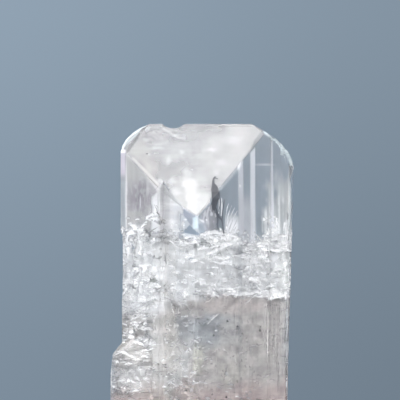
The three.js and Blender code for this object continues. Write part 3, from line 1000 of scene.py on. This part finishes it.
def glass(tree):
    volume = add(tree, "VolumeAbsorption", None, Color=(1.0, 0.95, 0.955, 1), Density=4.0)
    clear = {"Base_Color": (1, 1, 1, 1), "Roughness": 0.0, "IOR": 1.633, "Transmission_Weight": 1.0}
    return clear, volume.outputs[0]


EVEN = 0.5  # the strength with which a cloud is as dense as its material says


def cloud(name, thin, thick, seed, uneven=1.0):
    """Frosty cracks: soft uneven patches, a little drawn out upwards, and fine grain."""
    grains = [
        # scales, step of the seed, least and greatest factor, detail
        ((330, 330, 600), 0, 0.85, 1.13, 3), ((1500, 1500, 120), 1, 0.95, 1.05, 3),
        ((1300, 1300, 2400), 2, 1 - 0.06 * uneven, 1 + 0.06 * uneven, 2),
        ((760, 760, 1300), 4, 1 - 0.11 * uneven, 1 + 0.11 * uneven, 3),
        ((420, 420, 2000), 3, 1 - 0.08 * uneven, 1 + 0.08 * uneven, 3),
    ]

    def nodes(tree):
        shade = 1.0
        for scales, step, least, most, detail in grains:
            shade = product(tree, shade, noise_at(tree, scales, seed + step, least, most, detail))
        colour, strength = own_tone(tree, shade)
        dense = noise_at(tree, (420, 420, 700), seed + 5, thin - EVEN, thick - EVEN)
        shown = add(tree, "Math", {"operation": "ADD", "use_clamp": True})
        plug(tree, shown.inputs[0], dense)
        plug(tree, shown.inputs[1], strength)
        return {"Base_Color": colour, "Alpha": shown.outputs[0], "Roughness": 0.5}, None

    return surfaced(name, nodes)


def marked(name, least=0.75, most=1.25, scale=1100, stretch=1.0, grain=0.07):
    """Marks that carry their own tones, broken up by a noise that can be drawn out upwards."""
    def nodes(tree):
        fine = noise_at(tree, (1700, 1700, 1700 / stretch), 9.0, 1 - grain, 1 + grain)
        colour, strength = own_tone(tree, fine)
        shown = product(tree, strength, noise_at(tree, (scale, scale, scale / stretch), 4.0, least, most))
        shown.node.use_clamp = True
        return {"Base_Color": colour, "Alpha": shown, "Roughness": 0.5}, None

    return surfaced(name, nodes)


def grainy(name, colour, least, most, scale):
    """A film of one colour, denser in patches."""
    def nodes(tree):
        shown = noise_at(tree, (scale, scale, scale / 3), 2.0, least, most)
        return {"Base_Color": (*colour, 1), "Alpha": shown, "Roughness": 0.5}, None

    return surfaced(name, nodes)


# ---- Stage ----
FLOOR = 0.075  # its radius in metres
# the tone of the air by the sine of the angle above the horizon
AIR = [
    (-0.5, (0.32, 0.36, 0.42)), (-0.2, (0.30, 0.345, 0.41)), (-0.05, (0.185, 0.24, 0.30)),
    (0.05, (0.265, 0.34, 0.42)), (0.25, (0.31, 0.37, 0.44)), (0.55, (0.95, 0.97, 1.0)),
    (1.0, (1.15, 1.15, 1.15)),
]
LAMPS = [
    # name, place and size in metres, watts and colour
    ("key_left", (-0.9, -0.35, 0.5), (0.7, 0.9), 14, (1, 1, 1)),
    ("key_right", (0.9, -0.2, 0.5), (0.7, 0.9), 7, (1, 1, 1)),
    ("rim_left", (-1.0, 0.55, 0.15), (0.6, 0.6), 0.8, (1, 1, 1)),
    ("rim_right", (1.0, 0.55, 0.15), (0.6, 0.6), 0.8, (0.9, 0.9, 1.0)),
    ("side_right", (1.0, 0.08, 0.04), (0.4, 0.4), 0.2, (1, 1, 1)),
    ("front", (0.1, -0.95, 0.75), (1.4, 1.1), 46, (1, 1, 1)),
    ("back", (-0.2, 0.95, 0.7), (1.2, 1.0), 20, (1, 1, 1)),
]
AIM = (0, 0, 0.035)  # what the lamps are turned to
SENSOR = 36  # millimetres


def area(name, at, size, power, colour):
    """A lamp that the camera doesn't see, nor any mirror."""
    light = bpy.data.lights.new(name, "AREA")
    light.shape = "RECTANGLE"
    light.size, light.size_y = size
    light.energy = power
    light.color = colour
    lamp = bpy.data.objects.new(name, light)
    lamp.location = at
    lamp.rotation_mode = "QUATERNION"
    lamp.rotation_quaternion = (Vector(at) - Vector(AIM)).to_track_quat("Z", "Y")
    lamp.visible_camera = lamp.visible_glossy = False
    bpy.context.scene.collection.objects.link(lamp)


def backdrop():
    """The studio's air: blue grey, a little lighter above the horizon and to the left."""
    world = bpy.data.worlds.new("studio")
    bpy.context.scene.world = world
    world.use_nodes = True
    tree = world.node_tree
    split = add(tree, "SeparateXYZ", None, Vector=add(tree, "TexCoord").outputs["Generated"])
    lift = add(tree, "MapRange", None, Value=split.outputs["Z"], From_Min=-1.0, From_Max=1.0)
    rise = add(tree, "ValToRGB", None, Fac=lift.outputs["Result"])
    stops = rise.color_ramp.elements
    rise.color_ramp.interpolation = "EASE"
    for place, tone in AIR:
        stops.new(0.5 + place / 2).color = (*tone, 1)
    stops.remove(stops[0])
    stops.remove(stops[-1])
    across = add(tree, "MapRange", {"interpolation_type": "SMOOTHSTEP"}, Value=split.outputs["X"],
                 From_Min=-0.05, From_Max=0.05, To_Min=1.10, To_Max=0.88)
    air = tree.nodes["Background"]
    plug(tree, air.inputs["Color"], rise.outputs["Color"])
    plug(tree, air.inputs["Strength"], across.outputs["Result"])


def stage():
    """The studio: air, floor, lamps, and the camera that took the photograph."""
    scene = bpy.context.scene
    scene.view_settings.view_transform = "Standard"
    scene.cycles.max_bounces = 32
    scene.cycles.transmission_bounces = 32
    scene.cycles.glossy_bounces = 24
    scene.cycles.transparent_max_bounces = 32
    backdrop()

    turns = np.linspace(0, 2 * math.pi, 96, endpoint=False)
    disc = [(FLOOR * math.cos(a), FLOOR * math.sin(a), 0.0) for a in turns]
    mesh = bpy.data.meshes.new("floor")
    mesh.from_pydata(disc, [], [tuple(range(len(disc)))])
    floor = bpy.data.objects.new("floor", mesh)
    scene.collection.objects.link(floor)
    paper = {"Base_Color": (0.21, 0.21, 0.215, 1), "Roughness": 0.8}
    mesh.materials.append(surfaced("floor_paper", lambda tree: (paper, None)))
    for lamp in LAMPS:
        area(*lamp)

    camera = bpy.data.cameras.new("camera")
    camera.lens = SENSOR * DISTANCE / (PICTURE * PIXEL)
    camera.sensor_width = SENSOR
    camera.clip_end = 10
    eye = bpy.data.objects.new("camera", camera)
    x, z = at_pixel(PICTURE / 2, PICTURE / 2)
    eye.location = ((x + SHIFT[0]) * MM, -DISTANCE * MM, z * MM)
    eye.rotation_euler = (math.pi / 2, 0, 0)
    scene.collection.objects.link(eye)
    scene.camera = eye


# ---- The films in the clear tip, painted reflections and refractions of its faces, by pixels of the photograph ----
def smudge(px, py, cx, cy, rx, ry, soft=0.45):
    """1 in the middle of an oval of pixels, fading to 0 round its edge."""
    return ramp(np.hypot((px - cx) / rx, (py - cy) / ry), 1 + soft, 1 - soft)


def facet(px, py, corners, soft=1.0):
    """1 inside a convex outline of pixels, 0 outside."""
    corners = np.array(corners, float)
    turn = np.sign(np.cross(corners[1] - corners[0], corners[2] - corners[1]))
    inner = np.full(px.shape, 99.0)
    for (ax, ay), (bx, by) in zip(corners, np.roll(corners, -1, axis=0)):
        side = ((bx - ax) * (py - ay) - (by - ay) * (px - ax)) / math.hypot(bx - ax, by - ay)
        inner = np.minimum(inner, side * turn)
    return ramp(inner, -soft / 2, soft / 2)


def layered(px, layers, within=1.0):
    """Films one over another, each a tone and its strength at every place."""
    tone, alpha = np.zeros((len(px), 3)), np.zeros(len(px))
    for colour, share in layers:
        share = np.clip(share * within, 0, 1)
        total = share + alpha * (1 - share)
        tone = mix(tone, colour, share / np.maximum(total, 1e-6))
        alpha = total
    return np.column_stack([tone, alpha])


def near_line(px, py, line, width):
    """1 along a line of pixels, fading out to its width on both sides."""
    away = np.full(px.shape, 99.0)
    line = np.array(line, float)
    for (ax, ay), (bx, by) in zip(line, line[1:]):
        long = (bx - ax) ** 2 + (by - ay) ** 2
        t = np.clip(((px - ax) * (bx - ax) + (py - ay) * (by - ay)) / long, 0, 1)
        away = np.minimum(away, np.hypot(px - ax - t * (bx - ax), py - ay - t * (by - ay)))
    return ramp(away, width, width * 0.3)


# whitish spots in the tip's painted reflections: middle and half sizes in pixels
SPOTS = table("""
156.5 149 4.5 1; 182 152.5 1.6 1.6; 149 155 0.9 0.9; 161 182 3 2; 172 181 3.5 2.6; 169 161 1.8 3.4
186 173 3 4; 212 150 4 1.2; 175 191 4 2.2; 221 163 4 3; 175 135.5 3 1; 178 194 4 1.2; 146 140 2.2 1.4
216 172 3 3; 233 141 7 3
""")


def dome(px, py):
    """The front face of the tip, painted with what it reflects and refracts: faint haze, soft light spots and a
    bright patch, with darker smudges and lines along its upper edges and a painted highlight along the chip's
    edge.
    """
    corners = [(127, 155), (147, 124), (252, 124), (264, 134), (197, 216), (184, 208), (160, 190)]
    face = facet(px, py, corners, 1.5)
    soft = rough(px * 0.06, py * 0.1, 0 * px, 67, 2)
    torn = rough(px * 0.3, py * 0.36, 0 * px, 68, 3)
    bands = rough(px * 0.05, py * 0.45, 0 * px, 69, 2)
    right = facet(px, py, [(228, 120), (254, 120), (268, 134), (246, 160), (232, 152)], 16)
    # bright: a painted patch of light near the tip's lowest point
    bright = ramp(px - 0.22 * (py - 180) + 1.5 * torn, 179.5, 184.5) * ramp(px + 1.5 * torn, 201, 194)
    bright = bright * ramp(py + 2.5 * torn, 175, 185)
    beside = ramp(px, 193, 200) * ramp(px, 213, 207) * ramp(py + torn, 188, 197)
    # crack: a painted highlight along the chip's edge
    crack = near_line(px, py, [(163, 129), (170, 133), (178, 138), (185, 139)], 1.6)
    layers = [
        ((0.49, 0.495, 0.505), 0.34 + 0.15 * soft), ((0.44, 0.44, 0.445), right * 0.7),
        ((0.57, 0.58, 0.60), 0.22 * smudge(px + 8 * torn, py + 6 * torn, 178, 145, 26, 14, 0.7)),
        ((0.57, 0.565, 0.57), 0.38 * smudge(px, py, 222, 156, 24, 26, 0.6)),
        ((0.46, 0.46, 0.465), 0.13 * ramp(bands, 0.1, 0.7)),
        ((0.585, 0.585, 0.59), 0.35 * smudge(px, py, 189, 195, 15, 20, 0.8)),
        ((0.61, 0.61, 0.615), bright * 0.7), ((0.585, 0.585, 0.59), beside * 0.5),
        ((0.40, 0.38, 0.40), 0.5 * smudge(px, py + 3 * torn, 157, 136, 10, 3)),
        ((0.42, 0.40, 0.41), 0.45 * smudge(px + 2 * torn, py, 142, 134, 4, 4)),
        ((0.45, 0.44, 0.43), 0.4 * facet(px, py, [(129, 153), (140, 136), (150, 150), (150, 172)], 8)),
        ((0.50, 0.48, 0.47), 0.4 * smudge(px, py, 151, 170, 7, 11, 0.8)),
        ((0.64, 0.63, 0.65), 0.35 * crack),
        ((0.60, 0.58, 0.575), 0.5 * near_line(px, py, [(133, 159), (147, 173), (158, 185)], 2.0)),
    ]
    for cx, cy, rx, ry in SPOTS:
        layers.append(((0.62, 0.62, 0.64), 0.4 * smudge(px + torn, py + torn, cx, cy, rx * 1.2, ry * 1.2, 0.9)))
    return layered(px, layers, face)


def left_face(px, py):
    """The front's left facet, painted with what it reflects and refracts: mauve grey with dark upright streaks,
    the narrow facets beside it, and painted highlights along the shoulder's edge.
    """
    face = facet(px, py, [(126.6, 153.5), (159.5, 190.5), (152, 241), (126.6, 241)])
    streaks = rough(px * 0.5, py * 0.07, 0 * px, 61, 3)
    blots = rough(px * 0.22, py * 0.22, 0 * px, 62, 4)
    dark = ramp(py + 9 * blots, 172, 188) * ramp(py + 9 * blots, 222, 206)
    strip = facet(px, py, [(119, 150), (126, 150), (126.4, 236), (119, 236)])
    face = face * ramp(py + 5 * blots, 240, 216)
    shoulder = facet(px, py, [(118, 152), (146, 123), (149, 125), (137, 136), (127, 153)], 2)
    # edge: a painted highlight along the shoulder
    edge = near_line(px, py, [(121, 151), (124, 143), (130, 134.5), (138, 128), (146, 125)], 3.0)
    streaked = ramp(streaks + 0.5 * blots, 0.0, -0.5) * smudge(px, py, 141, 196, 9, 15)
    return layered(px, [
        ((0.50, 0.49, 0.48), face * 0.75), ((0.33, 0.32, 0.345), face * dark * 0.8),
        ((0.52, 0.52, 0.53), face * dark * 0.5 * ramp(blots, 0.1, 0.5)),
        ((0.58, 0.58, 0.60), face * dark * 0.4 * ramp(streaks, 0.2, 0.6)),
        ((0.15, 0.13, 0.16), face * 0.55 * streaked),
        ((0.85, 0.85, 0.88), face * 0.8 * smudge(px, py, 141, 202, 0.8, 5.5)),
        ((0.68, 0.64, 0.71), strip * ramp(py, 184, 172) * 0.8),
        ((0.40, 0.43, 0.46), strip * ramp(py, 172, 184) * 0.85),
        # painted light on the shoulder, and painted highlights along its edge and down the strip's edge
        ((0.70, 0.78, 0.82), shoulder * 0.5), ((0.86, 0.92, 0.95), 0.85 * edge),
        ((0.85, 0.85, 0.86), 0.7 * smudge(px, py, 126.8, 200, 0.9, 34)),
    ])


def middle_face(px, py):
    """The facet between the left one and the tip's lowest point: its painted reflections, as pale haze in level
    bands.
    """
    left = np.interp(py, [178, 190, 200, 240], [161, 156, 152, 152])
    left = left + 1.5 * rough(0 * px, py * 0.1, 0 * px, 73, 3)
    right = np.interp(py, [178, 208, 216, 240], [160.5, 183, 190, 192])
    bands = rough(px * 0.07, py * 0.4, 0 * px, 63, 3)
    face = ramp(px, left - 2.5, left + 3) * ramp(px, right + 0.5, right - 1.5) * ramp(py + 8 * bands, 243, 231)
    face = face * (1 - ramp(px, 182.5, 184.5) * ramp(py, 208, 210) * ramp(py, 222, 214))
    face = face * (1 - 0.6 * ramp(px, 180, 190) * ramp(py, 214, 222))
    return layered(px, [
        ((0.67, 0.675, 0.69), face * 0.92), ((0.56, 0.57, 0.60), face * 0.6 * ramp(bands, -0.1, -0.8)),
        ((0.90, 0.90, 0.92), face * 0.5 * ramp(bands, 0.3, 0.8)),
        ((0.42, 0.42, 0.45), face * 0.5 * facet(px, py, [(159, 210), (170, 209), (175, 212), (160, 212)], 2)),
        ((0.78, 0.78, 0.80), 0.5 * facet(px, py, [(152, 195), (166, 209), (164, 232), (152, 232)], 5)),
    ])


def below_apex(px, py):
    """Under the tip's lowest point, painted refractions: clear triangles in the bluish grey that shows through
    them, pale haze, and painted glints.
    """
    hazy = facet(px, py, [(181, 214), (196, 215), (207, 224), (205, 238), (180, 238)], 9)
    # dull and base: the blue grey seen through the glass, painted as triangles
    dull = facet(px, py, [(184, 209), (196.8, 216.5), (191.5, 226), (184, 215.5)])
    base = facet(px, py, [(182.3, 232.5), (190, 224.8), (201, 235.8)])
    right = facet(px, py, [(197.5, 224), (205, 222), (208, 233), (199, 234)], 2)
    # gleam: a painted glint
    gleam = facet(px, py, [(198.5, 218.8), (203.5, 220.8), (203.5, 222.8), (199.5, 220.8)], 1.5)
    beside = facet(px, py, [(199, 215), (212, 203), (216, 216), (216, 234), (206, 234)], 3)
    streaks = rough(px * 0.45, py * 0.14, 0 * px, 72, 3)
    return layered(px, [
        ((0.60, 0.63, 0.67), 0.8 * hazy), ((0.25, 0.275, 0.33), 0.9 * dull),
        ((0.19, 0.235, 0.29), 0.95 * base), ((0.28, 0.33, 0.40), 0.7 * right),
        ((0.42, 0.41, 0.44), 0.45 * beside), ((0.20, 0.20, 0.22), 0.5 * beside * ramp(streaks, 0.1, 0.6)),
        ((0.66, 0.66, 0.69), 0.5 * beside * ramp(streaks, -0.1, -0.6)),
        ((0.62, 0.72, 0.78), 0.8 * facet(px, py, [(193, 218), (197, 216.5), (198, 228), (193.5, 229)], 2)),
        # painted glints
        ((0.95, 0.95, 0.96), 0.7 * gleam), ((0.95, 0.95, 0.97), 0.8 * smudge(px, py, 185.8, 219.5, 1.5, 0.9)),
        ((0.95, 0.95, 0.97), 0.6 * smudge(px, py, 206, 220, 0.9, 0.9)),
    ])


def right_face(px, py):
    """Painted reflections and refractions: soft light bands down the risers, a web behind the fan, upright haze
    towards the right edge, the backdrop's darker tint, and a painted highlight along the shoulder.
    """
    lines = rough(px * 0.9, py * 0.02, 0 * px, 65, 2)
    blots = rough(px * 0.16, py * 0.07, 0 * px, 66, 3)
    web = smudge(px, py, 230, 226, 8, 12, 0.4) * ramp(px, 223.5, 225.5) * (0.8 + 0.4 * blots)
    edge = ramp(px + (py - 200) * 0.13 + 7 * blots, 262, 279) * ramp(py + 12 * blots, 168, 205)
    edge = edge * ramp(px, 291.5, 290)
    # bands: light that the risers refract from the side, painted as pale bands
    bands = facet(px, py, [(237.6, 164), (242.6, 158), (243.4, 240), (238.2, 240)])
    bands = np.maximum(bands, facet(px, py, [(270.4, 141), (272.0, 141), (273.6, 240), (269.6, 240)]))
    second = facet(px, py, [(249.8, 153), (254.4, 147), (255, 249), (249.8, 249)])
    above = ramp(py + 4 * blots - 7 * ramp(px, 238, 246), 240, 232)  # the frost's upper edge
    # tint: the backdrop seen through the right face, painted darker
    tint = above * ramp(px + (py - 134) * 0.84, 261, 263.5) * ramp(px, 290, 288)
    # rim: a painted highlight along the right shoulder
    rim = near_line(px, py, [(265, 132), (276, 138.5), (284, 147), (289.5, 157), (291, 163)], 3.6)
    return layered(px, [
        ((0.22, 0.26, 0.30), 0.62 * tint), ((0.52, 0.53, 0.53), edge * np.clip(0.6 + 0.4 * lines, 0, 1)),
        ((0.84, 0.85, 0.86), edge * 0.5 * ramp(lines + 0.4 * blots, 0.2, 0.6) * ramp(py, 185, 212)),
        ((0.66, 0.67, 0.71), 0.88 * bands * above), ((0.76, 0.775, 0.81), 0.9 * second * above),
        ((0.76, 0.76, 0.78), 0.88 * web), ((0.52, 0.52, 0.55), 0.5 * smudge(px, py, 246, 226, 7, 28)),
        ((0.44, 0.43, 0.42), edge * 0.5 * ramp(lines, -0.2, -0.6)),
        ((0.62, 0.62, 0.64), 0.6 * ramp(py + 4 * blots, 234, 243) * ramp(px, 240, 246)),
        ((0.90, 0.93, 0.92), 0.7 * smudge(px, py, 288.3, 205, 0.9, 30)),
        ((0.62, 0.63, 0.66), 0.6 * smudge(px, py, 264, 164.6, 9, 0.7, 0.6)),
        ((0.95, 0.95, 0.96), smudge(px, py, 239.4, 186, 0.9, 1.3)), ((0.80, 0.88, 0.90), 0.65 * rim),
    ])


def lid_tone(x, y):
    """The dome of the tip shows the lid by reflection, its back at the bottom."""
    lighter = 1 + 0.3 * ramp(y, 3, -5) + 0.1 * ramp(x, 0, 6)
    tone = np.outer(lighter, (0.39, 0.393, 0.404))
    return mix(tone, (0.53, 0.53, 0.535), ramp(np.hypot((x + 1.8) / 3.0, (y - 6.4) / 3.0), 1.5, 0.2))


def even(tones):
    """The tones, all of one middling strength."""
    return np.column_stack([tones, np.full(len(tones), EVEN)])


# ---- The pieces ----
stage()
crystal = make_piece("crystal_body", *joined([BODY, fractures()]))
crystal.data.materials.append(surfaced("danburite", glass))
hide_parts("crystal")

CLOUDS = [
    # depth, crumpling, cell, seed, how far its rim lies under the outer one's, then least and greatest density
    (0.28, 0.18, 0.27, 3, 0.0, 0.55, 1.0),
    (1.5, 0.35, 0.4, 7, 0.3, 0.9, 1.2),
]
for number, (*sizes, thin, thick) in enumerate(CLOUDS, 1):
    verts, faces = shell(*sizes)
    part = verts, faces, even(tone_of(verts[:, 0], verts[:, 2]))
    painted(f"cloud_{number}", [part], cloud(f"healed_cloud_{number}", thin, thick, number))
verts, faces = lid()
part = verts, faces, even(lid_tone(verts[:, 0], verts[:, 1]))
painted("cloud_top", [part], cloud("healed_cloud_top", 1.0, 1.0, 8.0, 0.0))

# the tip's films paint the reflections and refractions that its faces show, with painted highlights and glints
FILMS = [
    # name, window's pixels, depth, tones, and step in pixels
    ("haze_tip", 126, 122, 266, 218, 0.2, dome, 1.0),
    ("haze_left", 118, 124, 160, 240, 0.3, left_face, 1.0),
    ("haze_middle", 147, 177, 193, 243, 0.26, middle_face, 1.0),
    ("haze_apex", 172, 202, 218, 242, 0.24, below_apex, 0.5),
    ("haze_right", 210, 130, 294, 250, 0.3, right_face, 1.0),
]
for name, *window in FILMS:
    painted(name, [film(*window)], marked(name + "_frost", 0.9, 1.1, 500, 3, 0.03))

painted("slivers", scattered() + rim_shards() + uprights(), marked("frost_slivers"))
painted("front_slivers", fragments(), marked("front_frost"))
painted("back_slivers", veils(), marked("back_frost"))
lines = [
    sliver(front, np.reshape(points, (-1, 2)), width, shade, 800 + i, 0.07, 0.12)
    for i, (shade, width, *points) in enumerate(LINES)
]
painted("ledges", frayed(MARKS) + lines, marked("frost_ledges", 0.7, 1.25, 1800))

grains = [grain_at(px, py, size, 0.12, i) for i, (px, py, size) in enumerate(DARK_GRAINS)]
DETAILS = [
    # name, parts, then the material's name, colour, least and greatest density, and scale
    ("wisp", [ribbon(strand, 0.03) for strand in WISP], "dark_wisp", (0.055, 0.06, 0.075), 0.88, 1.1, 1500),
    ("fan", [ribbon(strand, 0.05) for strand in FAN], "pale_fibres", (0.78, 0.79, 0.82), 0.3, 1.0, 1500),
    ("dark_grains", grains, "dark_grain", (0.06, 0.06, 0.07), 0.85, 1.0, 2500),
]
for name, parts, *settings in DETAILS:
    make_piece(name, *joined(parts)).data.materials.append(grainy(*settings))
